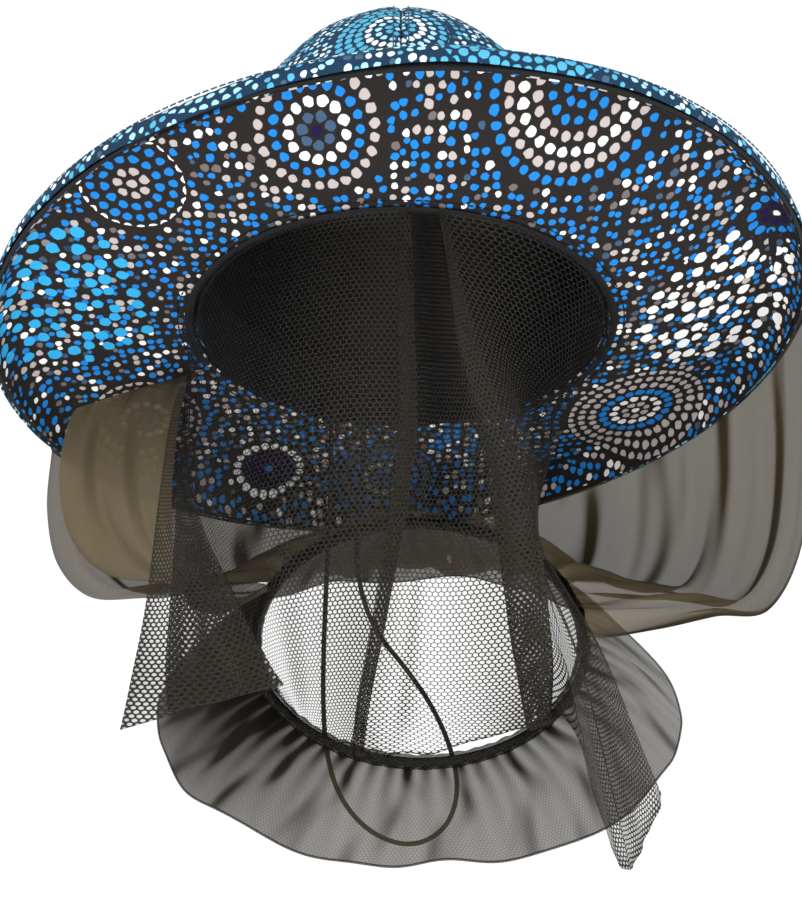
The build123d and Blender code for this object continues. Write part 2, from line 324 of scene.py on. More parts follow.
def ring_dots(tree, place, motif, pitch):
    """Dots on circles round a motif's middle: their mask and a random value for each ring."""
    parts = add(tree, "VectorMath", place, motif, operation="SUBTRACT")
    flat = add(tree, "VectorMath", parts, (1, 1, 0), operation="MULTIPLY")
    radius = add(tree, "VectorMath", flat, operation="LENGTH", out="Value")
    ring = add(tree, "Math", add(tree, "Math", radius, pitch, operation="DIVIDE"), operation="ROUND")
    around = add(tree, "Math", ring, DOTS_TO_A_RING, operation="MULTIPLY")
    count = add(tree, "Math", add(tree, "Math", around, operation="ROUND"), 1.0, operation="MAXIMUM")
    across, along = add(tree, "SeparateXYZ", flat).node.outputs[:2]
    angle = add(tree, "Math", along, across, operation="ARCTAN2")
    turned_by = add(tree, "Math", angle, count, operation="MULTIPLY")
    steps = add(tree, "Math", turned_by, 2 * pi, operation="DIVIDE")
    stagger = add(tree, "Math", ring, 0.37, steps, operation="MULTIPLY_ADD")
    dot = add(tree, "Math", stagger, operation="ROUND")
    off = add(tree, "Math", stagger, dot, operation="SUBTRACT")
    length = add(tree, "Math", ring, 2 * pi * pitch, operation="MULTIPLY")
    length = add(tree, "Math", length, count, operation="DIVIDE")
    arc = add(tree, "Math", off, length, operation="MULTIPLY")
    ring_radius = add(tree, "Math", ring, pitch, operation="MULTIPLY")
    rise = add(tree, "Math", ring_radius, radius, operation="SUBTRACT")
    away = add(tree, "VectorMath", add(tree, "CombineXYZ", arc, rise, 0.0), operation="LENGTH", out="Value")
    seed = add(tree, "VectorMath", motif, (0.37, 0.73, 0.11), operation="DOT_PRODUCT", out="Value")
    key = add(tree, "CombineXYZ", ring, seed, 0.0)
    each_ring = add(tree, "TexWhiteNoise", key, noise_dimensions="2D")
    each_dot = add(tree, "TexWhiteNoise", add(tree, "CombineXYZ", ring, seed, dot), noise_dimensions="3D")
    size = add(tree, "Math", each_ring, 0.13 * pitch, 0.27 * pitch, operation="MULTIPLY_ADD")
    size = add(tree, "Math", each_dot, 0.05 * pitch, size, operation="MULTIPLY_ADD")
    return soft_disc(tree, away, size, DOT_EDGE), each_ring


def scattered(tree, place, cell, smallest, spread, seed):
    """Dots scattered one to a cell: their mask, middles and a random value, in millimetres."""
    moved = add(tree, "VectorMath", place, (seed, seed * 1.7, 0), operation="ADD")
    scaled = add(tree, "VectorMath", moved, (1 / cell,) * 3, operation="MULTIPLY")
    cells = {"Scale": 1.0, "Randomness": 0.6}
    spots = add(tree, "TexVoronoi", scaled, voronoi_dimensions="2D", named=cells).node
    room = add(tree, "TexVoronoi", scaled, voronoi_dimensions="2D", feature="N_SPHERE_RADIUS", out="Radius",
               named=cells)
    value = add(tree, "SeparateColor", spots.outputs["Color"]).node
    wish = add(tree, "Math", value.outputs[1], spread / cell, smallest / cell, operation="MULTIPLY_ADD")
    size = add(tree, "Math", wish, add(tree, "Math", room, 0.92, operation="MULTIPLY"), operation="MINIMUM")
    mask = soft_disc(tree, spots.outputs["Distance"], size, DOT_EDGE / cell)
    middle = add(tree, "VectorMath", spots.outputs["Position"], (cell,) * 3, operation="MULTIPLY")
    middle = add(tree, "VectorMath", middle, (-seed, -seed * 1.7, 0), operation="ADD")
    return mask, middle, value.outputs[0]


BELOW, ABOVE = 6, 7       # a colour mix's two inputs: what shows where the mask is 0, and where it is 1


def dotted_print(tree, ground, motifs, pitch, small, rings, zones=(), big=()):
    """A dotted print: scattered dots, zones of big dots, and motifs of dotted rings, none cut by another."""
    place = cloth_place(tree)
    mask, middle, value = scattered(tree, place, 0.84 * pitch, 0.21 * pitch, 0.13 * pitch, 13.0)
    keep = add(tree, "Math", motif_at(tree, middle, motifs)[1], 0.35 * pitch, operation="GREATER_THAN")
    if zones:
        in_zone = add(tree, "Math", motif_at(tree, middle, zones)[1], 0.0, operation="LESS_THAN")
        spot = scattered(tree, middle, 1.6 * pitch, 0.85 * pitch, 0.18 * pitch, 71.0)[0]
        beside = add(tree, "Math", in_zone, spot, operation="MULTIPLY")
        free = add(tree, "Math", 1.0, beside, operation="SUBTRACT")
        keep = add(tree, "Math", keep, free, operation="MULTIPLY")
    mask = add(tree, "Math", mask, keep, operation="MULTIPLY")
    colour = add(tree, "Mix", mask, data_type="RGBA", out=2,
                 named={BELOW: ground, ABOVE: palette(tree, value, small)})
    if zones:
        mask, middle = scattered(tree, place, 1.6 * pitch, 0.42 * pitch, 0.18 * pitch, 71.0)[:2]
        clear = add(tree, "Math", motif_at(tree, middle, motifs)[1], 0.6 * pitch, operation="GREATER_THAN")
        in_zone = add(tree, "Math", motif_at(tree, middle, zones)[1], 0.0, operation="LESS_THAN")
        keep = add(tree, "Math", clear, in_zone, operation="MULTIPLY")
        mask = add(tree, "Math", mask, keep, operation="MULTIPLY")
        side = add(tree, "Math", add(tree, "SeparateXYZ", middle), 0.0, operation="GREATER_THAN")
        colour = add(tree, "Mix", mask, data_type="RGBA", out=2,
                     named={BELOW: colour, ABOVE: palette(tree, side, big)})
    motif, outside = motif_at(tree, place, motifs)
    dots, each_ring = ring_dots(tree, place, motif, pitch)
    within = add(tree, "Math", outside, 0.0, operation="LESS_THAN")
    mask = add(tree, "Math", dots, within, operation="MULTIPLY")
    return add(tree, "Mix", mask, data_type="RGBA", out=2,
               named={BELOW: colour, ABOVE: palette(tree, each_ring, rings)})


# A wave texture's settings for threads; at this scale they are 0.63 of a unit apart
THREAD_WAVES = {"Scale": 3.14 / (2 * pi), "Distortion": 0.6, "Detail": 1.0}


def weave(tree, spacing=0.55):
    """Crossed threads of a plain weave, a little coarser than life so that they show."""
    uv = add(tree, "UVMap", uv_map="cloth")
    place = add(tree, "VectorMath", uv, (1 / (MM * spacing),) * 3, operation="MULTIPLY")
    warp, weft = (add(tree, "TexWave", place, bands_direction=way, named=THREAD_WAVES) for way in "XY")
    return add(tree, "Math", warp, weft, operation="MAXIMUM")


def hexagons(tree, pitch, thread):
    """The threads of a hexagonal net: 1 on a thread and 0 in a hole."""
    uv = add(tree, "UVMap", uv_map="cloth")
    place = add(tree, "VectorMath", uv, (1 / (MM * pitch),) * 3, operation="MULTIPLY")
    cell = (1.0, sqrt(3), 1.0)
    nearest = []
    for shift in ((0, 0, 0), (0.5, sqrt(3) / 2, 0)):
        moved = add(tree, "VectorMath", place, shift, operation="ADD")
        wrapped = add(tree, "VectorMath", moved, cell, operation="MODULO")
        nearest.append(add(tree, "VectorMath", wrapped, (-0.5, -sqrt(3) / 2, 0), operation="ADD"))
    lengths = [add(tree, "VectorMath", n, operation="LENGTH", out="Value") for n in nearest]
    first = add(tree, "Math", *lengths, operation="GREATER_THAN")
    local = add(tree, "Mix", first, data_type="VECTOR", out=1, named={4: nearest[0], 5: nearest[1]})
    local = add(tree, "VectorMath", local, operation="ABSOLUTE")
    slant = add(tree, "VectorMath", local, (0.5, sqrt(3) / 2, 0), operation="DOT_PRODUCT", out="Value")
    side = add(tree, "SeparateXYZ", local)
    edge = add(tree, "Math", slant, side, operation="MAXIMUM")
    gather_and_fold_shading = add(tree, "Attribute", out="Fac", attribute_name="gather_and_fold_shading")
    hole = add(tree, "Math", gather_and_fold_shading, -0.2, 0.5 - thread / pitch / 2, operation="MULTIPLY_ADD")
    return soft_disc(tree, hole, edge, 0.12)


BLUE, CYAN, SLATE, GREY, STONE = "#1E7FD0", "#33A6DE", "#3F5872", "#6E6768", "#B9AFAC"
WHITE, PLUM, CHARCOAL, NAVY, ICE = "#F6F6F4", "#1E1240", "#242120", "#17324A", "#9FD3EA"
TEAL, MIST = "#4FA6C8", "#DDEBF0"

PRINT_STRETCH = 1.35      # the dots are a little longer from face to nape than across
# Middles and radii of the dotted rings and of the zones of big dots, in millimetres along the cloth
UNDERSIDE_MOTIFS = ((-30, -104, 24), (64, -112, 34), (-100, -82, 20), (112, 66, 32), (-120, 58, 26),
                    (-8, 112, 26), (150, -50, 14), (-66, 100, 18))
UNDERSIDE_ZONES = ((-140, -26, 40), (136, -6, 36))
TOP_MOTIFS = ((-60, -104, 28), (40, -116, 32), (130, -66, 26), (-150, -30, 30), (150, 30, 32),
              (-120, 66, 30), (10, 112, 28), (95, 92, 22))
PANEL_MOTIFS = ((46, 30, 30), (8, 92, 26), (88, 96, 30), (42, 160, 22))


def dotted_cotton():
    """Plain-woven cotton, pigment printed: matt, with crisp dots that bleed a little at their edges."""
    small = ((0.0, BLUE), (0.36, STONE), (0.56, WHITE), (0.74, BLUE), (0.84, GREY), (0.93, SLATE))
    rings = ((0.0, BLUE), (0.24, STONE), (0.42, WHITE), (0.58, SLATE), (0.70, BLUE), (0.82, PLUM),
             (0.9, GREY))
    big = ((0.0, CYAN), (0.5, WHITE))
    return surface("printed_cotton_underside", lambda tree: dotted_print(
        tree, linear(CHARCOAL), UNDERSIDE_MOTIFS, 5.2, small, rings, UNDERSIDE_ZONES, big), 0.86, weave)


def printed_cotton(name, motifs):
    """The same cotton in the upper colours: a navy ground under pale dots, matt."""
    small = ((0.0, ICE), (0.4, TEAL), (0.62, MIST), (0.86, SLATE))
    rings = ((0.0, ICE), (0.35, TEAL), (0.6, MIST), (0.8, TEAL))
    return surface(name, lambda tree: dotted_print(
        tree, linear(NAVY), motifs, 4.6, small, rings), 0.84, weave)


def net(name, pitch, thread, code, painted_fold_colour, haze=0.0):
    """Warp-knitted polyester net: fine dull threads round open hexagons, seen as a grey veil. The haze
    stands for threads too fine to draw, and rises with the folded layers, where the colour is also moved
    towards a painted fold colour: painted shade in the folds of the tulle, a slightly lighter painted light
    on the clear net."""
    def cover(tree):
        mask = hexagons(tree, pitch, thread)
        gather_and_fold_shading = add(tree, "Attribute", out="Fac", attribute_name="gather_and_fold_shading")
        fine = add(tree, "Math", gather_and_fold_shading, 0.62, haze, operation="MULTIPLY_ADD", use_clamp=True)
        rest = add(tree, "Math", 1.0, fine, operation="SUBTRACT")
        drawn = add(tree, "Math", rest, 0.3 if haze else 1.0, operation="MULTIPLY")
        seen = add(tree, "Math", mask, drawn, operation="MULTIPLY")
        return add(tree, "Math", seen, fine, operation="ADD", use_clamp=True)

    def shade(tree):
        gather_and_fold_shading = add(tree, "Attribute", out="Fac", attribute_name="gather_and_fold_shading")
        # Painted fold shading: the colour goes from the net's own colour to the painted fold colour as the
        # fold value rises.
        painted_fold_share = add(tree, "Math", gather_and_fold_shading, 1.4, operation="MULTIPLY", use_clamp=True)
        return add(tree, "Mix", painted_fold_share, data_type="RGBA", out=2,
                   named={BELOW: linear(code), ABOVE: linear(painted_fold_colour)})

    return surface(name, shade, 0.6, alpha=cover)


def woven(name, code, roughness, spacing):
    """Cloth or braid of one colour, whose threads show as a fine raised grain."""
    return surface(name, code, roughness, height=lambda tree: weave(tree, spacing), strength=0.6)


MATERIALS = {
    "underside": dotted_cotton(),
    "top": printed_cotton("printed_cotton_brim", TOP_MOTIFS),
    "crown": printed_cotton("printed_cotton_crown", PANEL_MOTIFS),
    # Black cloths: a smooth lining, a coarse dull band and a ribbed tape that catches a little light
    "lining": woven("black_polyester_lining", "#141417", 0.6, 0.7),
    "sweatband": woven("black_cotton_twill_band", "#17171A", 0.8, 1.4),
    "tape": woven("black_polyester_grosgrain", "#1A1A1C", 0.55, 1.6),
    # Nets: clear black over the face, and two hazy copies of one tulle: taupe behind, painted light from
    # above, and smoky below
    "net": net("black_polyester_net", 2.0, 0.3, "#1C1914", "#26231D"),
    "tulle": net("polyester_tulle_painted_light", 1.3, 0.42, "#62563F", "#1D1A14", haze=0.82),
    "skirt_tulle": net("smoky_polyester_tulle", 1.3, 0.42, "#3A3226", "#12100D", haze=0.66),
    "net_bound": net("black_polyester_net_folded", 1.2, 0.8, "#1B1915", "#1B1915", haze=0.5),
    # A dull round braid, and threads with a faint shine
    "cord": woven("black_braided_polyester", "#121212", 0.6, 1.1),
    "thread": surface("navy_polyester_thread", "#2B4A63", 0.5),
    "black_thread": surface("black_polyester_thread", "#101012", 0.5),
}


# ---------------------------------------------------------------- dressing a piece

def dress(piece, material, slot, body, *nodes):
    piece.data.materials.clear()
    piece.data.materials.append(MATERIALS[material])
    if nodes:
        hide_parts(*nodes)
    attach(piece, body)
    return piece


def lift_with(piece):
    """Gives the piece a mesh of its own."""
    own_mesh(piece)


def baked(piece):
    """The piece with its modifiers made real."""
    graph = bpy.context.evaluated_depsgraph_get()
    mesh = bpy.data.meshes.new_from_object(piece.evaluated_get(graph))
    piece.modifiers.clear()
    piece.data = mesh
    return piece


# ---------------------------------------------------------------- hat

def crown_gore(number):
    width = 2 * pi / CROWN_PANELS
    rows, cols = 27, 17
    u, v = np.linspace(0, 1, cols), np.linspace(0, 1, rows)
    turn, level = (number + u[None, :]) * width, v[:, None] * radians(89.6)
    seam = np.minimum(u, 1 - u)[None, :] * cols
    pucker = 0.35 * np.exp(-seam ** 2) * np.sin(v[:, None] * 150)
    soft = ripple((rows, cols), ((1.1, 1.3, 0.7), (0.6, 2.4, 0.5)), number + 3)
    soft = soft * np.sin(pi * v[:, None]) * np.minimum(1, seam / 4)
    sunk = -0.9 * np.exp(-(seam * 1.2) ** 2)
    points = dome(CROWN_OUT + sunk + pucker * np.sin(pi * v[:, None]) + soft, level, turn)
    foot = CROWN_SPREAD * width * MM
    uv = cloth_uv(rows, cols, foot, 0.18)
    uv[..., 0] = (uv[..., 0] - foot / 2) * np.cos(level) + 0.05
    piece = thick(grid(f"crown_gore_{number + 1}", points[::-1], uv=uv[::-1]), CROWN_OUT - CROWN_IN)
    dress(piece, "crown", "printed_cotton", "hat", f"crown_panel_{number + 1}")


def crown_inside():
    turn, level = all_round(96), np.linspace(0, radians(89.9), 30)
    wrinkle = ripple((30, 96), ((7, 1, 0.35), (13, -2, 0.2)), 5) * np.sin(np.linspace(0, pi, 30))[:, None]
    points = dome(LINING_IN + 0.3 - np.abs(wrinkle), level[:, None], turn[None, :])
    piece = grid("crown_lining_cloth", points, closed=True, uv=cloth_uv(30, 97, CLOTH_LENGTH, 0.18))
    dress(thick(piece, 0.5, offset=0), "lining", "black_lining", "hat", "crown_lining")


def inner_band():
    turn = all_round(144)
    heights = np.array((-3.8, -3.4, -2, 4, 11, 18, 25, 27.6, 28.2))
    lean = CROWN_SPREAD * (1 - np.cos(np.arcsin(np.maximum(heights, 0) / CROWN_HEIGHT))) + 0.4 * heights / 28
    puff = np.array((0, 0.3, 0.5, 0.2, 0, 0, 0.2, 0.3, 0))
    quilting = 0.15 * np.sin(turn * 90)[None, :] * np.sin(np.linspace(0, pi, 9))[:, None]
    points = hat((0.7 - lean - puff)[:, None] + quilting, heights[:, None], turn[None, :])
    piece = grid("sweatband_cloth", points[::-1], closed=True, uv=cloth_uv(9, 145, CLOTH_LENGTH, 0.032))
    dress(thick(piece, 1.2, offset=0), "sweatband", "black_sweatband", "hat", "sweatband")


def brim_rows(depth):
    """Reaches and heights from the opening to the lip's edge, at a depth below the brim's upper face."""
    flat, radius, bend = BRIM_WIDTH - LIP_RADIUS, LIP_RADIUS - depth, np.linspace(0, pi / 2, 9)
    reach = np.concatenate([np.linspace(CROWN_IN, flat, 22)[:-1], flat + radius * np.sin(bend)])
    height = np.concatenate([np.full(21, -depth), radius * np.cos(bend) - LIP_RADIUS])
    return reach, height


def brim_ply(name, depth, material, slot, node):
    """One of the brim's cloths, with soft waves that grow towards the lip."""
    turn = all_round(180)
    reach, height = brim_rows(depth)
    share = np.clip(reach / BRIM_WIDTH, 0, 1)[:, None]
    around = 1.0 * np.sin(5 * turn + 0.7) + 0.6 * np.sin(9 * turn + 2.1) + 0.3 * np.sin(17 * turn)
    points = hat(reach[:, None], height[:, None] + share ** 2 * around[None, :], turn[None, :])
    run = np.concatenate([[0], np.cumsum(np.hypot(np.diff(reach), np.diff(height)))]) + CROWN_IN
    closed = np.linspace(0, 2 * pi, 181)
    flat = np.stack([(OPENING[0] + run[:, None]) * np.sin(closed),
                     -(OPENING[1] + run[:, None]) * np.cos(closed) / PRINT_STRETCH], axis=-1) * MM
    order = slice(None, None, -1 if depth else 1)
    piece = grid(name, points[order], closed=True, uv=flat[order])
    dress(thick(piece, BRIM_CLOTH), material, slot, "hat", node)


def stitch_tree():
    """Geometry Nodes: short round threads laid along every line of the input mesh."""
    tree = bpy.data.node_groups.new("sewn_stitches", "GeometryNodeTree")
    face = tree.interface
    face.new_socket("Geometry", in_out="INPUT", socket_type="NodeSocketGeometry")
    for label in ("Spacing", "Length", "Radius"):
        face.new_socket(label, in_out="INPUT", socket_type="NodeSocketFloat")
    face.new_socket("Thread", in_out="INPUT", socket_type="NodeSocketMaterial")
    face.new_socket("Geometry", in_out="OUTPUT", socket_type="NodeSocketGeometry")
    given = tree.nodes.new("NodeGroupInput").outputs
    line = add(tree, "MeshToCurve", named={"Mesh": given["Geometry"]})
    spots = add(tree, "CurveToPoints", mode="LENGTH", named={"Curve": line, "Length": given["Spacing"]}).node
    thread = add(tree, "MeshCylinder",
                 named={"Vertices": 7, "Radius": given["Radius"], "Depth": given["Length"]})
    laid = add(tree, "InstanceOnPoints", named={"Points": spots.outputs["Points"], "Instance": thread,
                                                "Rotation": spots.outputs["Rotation"]})
    real = add(tree, "RealizeInstances", named={"Geometry": laid})
    dyed = add(tree, "SetMaterial", named={"Geometry": real, "Material": given["Thread"]})
    tree.links.new(dyed, tree.nodes.new("NodeGroupOutput").inputs["Geometry"])
    return tree


STITCH_TREE = stitch_tree()
STITCHES = {"Spacing": 3.3 * MM, "Length": 2.3 * MM, "Radius": 0.3 * MM}


def stitches(name, lines, colour, slot):
    """Rows of sewn stitches along lines of points."""
    mesh = bpy.data.meshes.new(name)
    starts = np.cumsum([0] + [len(line) for line in lines])
    edges = [(a + k, a + k + 1) for a, line in zip(starts, lines) for k in range(len(line) - 1)]
    mesh.from_pydata(np.concatenate(lines).tolist(), edges, [])
    piece = bpy.data.objects.new(name, mesh)
    bpy.context.collection.objects.link(piece)
    modifier = piece.modifiers.new("stitches", "NODES")
    modifier.node_group = STITCH_TREE
    settings = {**STITCHES, "Thread": MATERIALS[colour]}
    for item in STITCH_TREE.interface.items_tree:
        if item.name in settings:
            modifier[item.identifier] = settings[item.name]
    dress(baked(piece), colour, slot, "hat")


def sewing():
    turn = np.linspace(0, 2 * pi, 241)
    slope = radians(62)
    rim = hat(BRIM_WIDTH - LIP_RADIUS + LIP_RADIUS * sin(slope), LIP_RADIUS * (cos(slope) - 1) + 0.15, turn)
    opening = hat(9.0, -BRIM_THICKNESS - 0.15, turn)
    level = np.linspace(radians(3), radians(82), 60)
    seams = []
    for panel in range(CROWN_PANELS):
        for side in (-1, 1):
            shift = side * 0.035 / np.maximum(np.cos(level), 0.12)
            seams.append(dome(CROWN_OUT + 0.05, level, panel * 2 * pi / CROWN_PANELS + shift))
    stitches("brim_stitches", [rim], "thread", "printed_cotton")
    stitches("crown_stitches", seams, "thread", "printed_cotton")
    stitches("opening_stitches", [opening], "black_thread", "black_tape")


def tape(name, rows, ends, count, width, node):
    """A narrow woven tape along rows of (reach, height), between two turns in degrees."""
    turn = np.radians(np.linspace(*ends, count))
    reach, height = np.array(rows).T
    points = hat(reach[:, None], height[:, None], turn[None, :])
    length = CROWN_SPREAD * MM * (turn[-1] - turn[0])
    piece = grid(name, points, uv=cloth_uv(len(rows), count, length, width * MM))
    dress(thick(piece, 0.7), "tape", "black_tape", "hat", node)


# ---------------------------------------------------------------- net

def laid_out(points):
    """Metres along and down the net at each point, so that its holes keep their size in every fold."""
    across = np.linalg.norm(np.diff(points, axis=1), axis=-1).mean(axis=0)
    down = np.linalg.norm(np.diff(points, axis=0), axis=-1)
    u = np.concatenate([[0], np.cumsum(across)])
    v = np.concatenate([np.zeros((1, points.shape[1])), np.cumsum(down, axis=0)])
    return np.stack([np.broadcast_to(u, v.shape), 0.5 - v], axis=-1)


FRONT_COLS, FRONT_ROWS = 260, 76
# Lines down the front panel from left to right: the turn of the sewn top end, how gathered the net is at
# the top and at the foot, a value that also sets its painted fold shading, and places in millimetres.
# Where the places go back and then on, the net is folded over itself.
FRONT_LINES = (
    (-104, 0.2, 0.45,
     ((-97, 6, -32), (-101, -20, -72), (-105, -38, -118), (-109, -50, -146), (-112, -58, -165))),
    (-97, 0.2, 0.45,
     ((-90, -6, -32), (-84, -34, -76), (-66, -56, -112), (-52, -64, -138), (-46, -68, -146))),
    (-92, 0.2, 0.45,
     ((-92, -4, -34), (-92, -36, -78), (-92, -50, -116), (-92, -56, -140), (-90, -60, -158))),
    (-84, 0.1, 0.35,
     ((-84, -22, -30), (-82, -42, -76), (-76, -52, -112), (-70, -52, -138), (-66, -42, -152))),
    (-58, 0.0, 0.2,
     ((-76, -58, -20), (-74, -60, -68), (-68, -54, -112), (-58, -44, -138), (-50, -30, -156))),
    (-32, 0.0, 0.05,
     ((-50, -88, -8), (-50, -92, -62), (-47, -84, -112), (-42, -66, -146), (-36, -47, -168))),
    (0.3, 0.5, 0.5,
     ((1.2, -100, -8), (1.8, -104, -54), (-6, -98, -112), (-12, -80, -150), (-15, -62, -174))),
    (-0.3, 0.5, 0.5,
     ((-0.8, -102, -8), (-0.8, -107, -54), (-9.5, -101, -112), (-16.5, -83, -150), (-19, -62, -174))),
    (0.7, 0.3, 0.3,
     ((1.2, -104, -8), (1.4, -109, -54), (-6.5, -103, -112), (-13, -84, -150), (-16, -61, -174))),
    (6, 0.0, 0.0,
     ((12, -102, -8), (14, -106, -62), (12, -100, -112), (12, -82, -150), (14, -60, -174))),
    (10.6, 0.5, 0.55,
     ((28, -95, -10), (45, -86, -60), (53, -84, -96), (56, -78, -130), (58, -58, -162))),
    (10.2, 0.5, 0.55,
     ((20, -98, -10), (31, -92, -60), (37, -89, -96), (43, -78, -132), (50, -56, -166))),
    (11.4, 0.4, 0.5,
     ((29, -97, -10), (46, -90, -60), (52, -86, -96), (58, -74, -130), (64, -52, -158))),
    (48, 0.0, 0.5,
     ((52, -72, -22), (54, -70, -62), (54, -70, -96), (66, -72, -140), (80, -86, -206))),
    (80, 0.0, 0.5,
     ((70, -30, -34), (58, -48, -64), (52, -56, -92), (70, -62, -136), (88, -84, -214))),
    (118, 0.1, 0.45,
     ((68, 20, -42), (58, -16, -66), (56, -38, -96), (76, -56, -136), (95, -74, -204))),
    (150, 0.1, 0.4,
     ((50, 48, -56), (54, 10, -70), (60, -24, -96), (82, -48, -136), (104, -60, -190))),
)


def sewn_edge(turn):
    """The front panel's top edge, under the brim round the opening."""
    return hat(CROWN_IN + 1.8, -BRIM_THICKNESS - 1.6, turn)


def front_grid():
    turns = np.radians([row[0] for row in FRONT_LINES])
    lines = np.array([[top, *row[3]] for top, row in zip(sewn_edge(turns) / MM, FRONT_LINES)], float)
    across = curve_through(lines, FRONT_COLS)
    points = np.stack([curve_through(column, FRONT_ROWS) for column in across], axis=1) * MM
    points[0] = sewn_edge(curve_through(turns, FRONT_COLS))
    return points


def wavy(points, waves, seed):
    """Loose folds that fade out at the sewn top edge."""
    fade = np.linspace(0, 1, points.shape[0])[:, None] ** 0.7
    return points + normals(points) * (ripple(points.shape[:2], waves, seed) * fade * MM)[..., None]


def fold_shade_streaks(shape, across, seed):
    """Bands from 0 to 1 for folds of a net, running mostly down the cloth, where it is denser and has
    painted fold shading.
    """
    field = ripple(shape, ((across, 0.5, 0.5), (across * 1.7, -0.8, 0.3), (across * 3.1, 1.1, 0.2)), seed)
    return np.clip(field, 0, 1) ** 1.5


def front_gather_and_fold_shading():
    top, foot = (curve_through([row[k] for row in FRONT_LINES], FRONT_COLS) for k in (1, 2))
    down = np.clip(np.linspace(-0.35, 1.3, FRONT_ROWS), 0, 1)[:, None]
    # The fold streaks lower down add painted fold shading as well as a denser net.
    drawn = top * (1 - down) + foot * down + 0.3 * fold_shade_streaks((FRONT_ROWS, FRONT_COLS), 13, 31) * down
    drawn[-1], drawn[:, [0, -1]] = 0.9, 0.9
    return drawn


def front_panel():
    points = wavy(front_grid(), ((9, 0.4, 0.9), (17, -0.6, 0.8), (31, 0.8, 0.5)), 21)
    piece = grid("veil_front_net", points, uv=laid_out(points), gather_and_fold_shading=front_gather_and_fold_shading())
    dress(piece, "net", "net", "hat", "veil_front_panel")
    return piece


BACK_COLS, BACK_ROWS = 240, 70
# Down the back panel from the rim: share of the way in to the collar, drop to the belly, rise to the collar
BACK_STEPS = ((-0.02, 0.4, 0), (0.03, 0.78, 0), (0.18, 1, 0), (0.42, 1, 0.15), (0.68, 1, 0.6), (0.9, 1, 1),
              (1, 1, 1))


def back_grid():
    turn = np.radians(np.linspace(*BACK_TURNS, BACK_COLS))
    top, rim = hat(87.4, -11.0, turn), hat(87.4, -18.6, turn)
    foot = collar(1.2, 3.8, turn)
    belly = (-116 - 6 * np.abs(np.sin(turn))) * MM
    lines = [top, rim]
    for inwards, drop, rise in BACK_STEPS:
        row = rim + (foot - rim) * inwards
        row[:, 2] = rim[:, 2] + (belly - rim[:, 2]) * drop
        row[:, 2] += (foot[:, 2] - row[:, 2]) * rise
        lines.append(row)
    return np.stack([curve_through(np.array(lines)[:, i], BACK_ROWS) for i in range(BACK_COLS)], axis=1)


def back_panel():
    points = wavy(back_grid(), ((8, 0.5, 2.4), (15, -0.9, 1.6), (27, 1.1, 0.9), (46, -0.7, 0.4)), 8)
    # The fold value: painted fold shading along streaks, where the net is also drawn denser.
    piece = grid("veil_back_net", points, uv=laid_out(points),
                 gather_and_fold_shading=0.05 + 0.4 * fold_shade_streaks((BACK_ROWS, BACK_COLS), 11, 17))
    dress(piece, "tulle", "net", "hat", "veil_back_panel")
    return piece


def side_gusset():
    rows, cols = 40, 24
    front, back = front_grid()[:, 0], back_grid()[:, -1]
    front = curve_through(front[:int(FRONT_ROWS * 0.9)], rows)
    back = curve_through(back[3:], rows)
    foot = collar(0.0, 3.8, radians(FRONT_TURNS[0]))
    u = np.linspace(0.02, 0.98, cols)[None, :, None]
    points = front[:, None] * (1 - u) + back[:, None] * u
    pull = (np.linspace(0, 1, rows) ** 3)[:, None, None]
    points = points * (1 - pull) + foot * pull
    top = hat(np.linspace(8.0, 72.0, cols), -BRIM_THICKNESS - 1.4, radians(-110))
    fade = np.exp(-np.linspace(0, 5, rows))[:, None, None]
    points = points * (1 - fade) + top[None] * fade
    points = wavy(points, ((2.5, 0.4, 1.6), (5, -0.6, 0.8)), 4)
    # The fold value: painted fold shading along streaks, where the net is also drawn denser.
    piece = grid("veil_side_net", points, uv=laid_out(points),
                 gather_and_fold_shading=0.1 + 0.4 * fold_shade_streaks((rows, cols), 3, 5))
    dress(piece, "tulle", "net", "hat", "veil_side_gusset")
    return piece


# ---------------------------------------------------------------- collar and skirt

def gathers(turn):
    """Small folds of the net at the collar, from -1 to 1."""
    return np.sin(64 * turn + 1.5 * np.sin(3 * turn))


def gathered_collar():
    turn = all_round(360)
    around = np.linspace(radians(15), radians(345), 15)
    puckers = 0.3 * gathers(turn) + 0.2 * np.sin(41 * turn)
    radius = CASING_RADIUS - 0.3 + puckers[None, :] * (0.6 + 0.4 * np.cos(around))[:, None]
    points = collar(radius * np.sin(around)[:, None], radius * np.cos(around)[:, None], turn[None, :])
    piece = grid("neck_casing_cloth", points, closed=True, uv=cloth_uv(15, 361, 0.52, 0.018))
    dress(thick(piece, 0.4, offset=0), "net_bound", "net_binding", "neck_band", "neck_casing")
    return piece


def elastic_loop():
    turn = all_round(180)
    section = np.array(((0.6, -1.8), (0.6, 1.8), (-0.6, 1.8), (-0.6, -1.8), (0.6, -1.8)))[::-1]
    points = collar(section[:, :1], section[:, 1:], turn[None, :])
    piece = grid("neck_elastic_loop", points, closed=True, uv=cloth_uv(5, 181, 0.5, 0.01))
    return dress(piece, "cord", "elastic", "neck_band", "neck_elastic")


def skirt_points(first, last, cols, rows):
    turn = np.linspace(first, last, cols)
    v = np.linspace(0, 1, rows)[:, None]
    top, foot = collar(0.4, -2.2, turn), hem(0, 1.6, turn)
    points = top[None] * (1 - v[..., None]) + foot[None] * v[..., None]
    folds = 1.5 * np.sin(7 * turn + 1.2 * np.sin(2 * turn + 1)) + 0.9 * np.sin(15 * turn + np.sin(5 * turn))
    height = folds * v ** 1.1 + 0.8 * gathers(turn) * np.exp(-5 * v) + 3.5 * np.sin(pi * v) - v
    points[..., 2] += height * MM
    return points


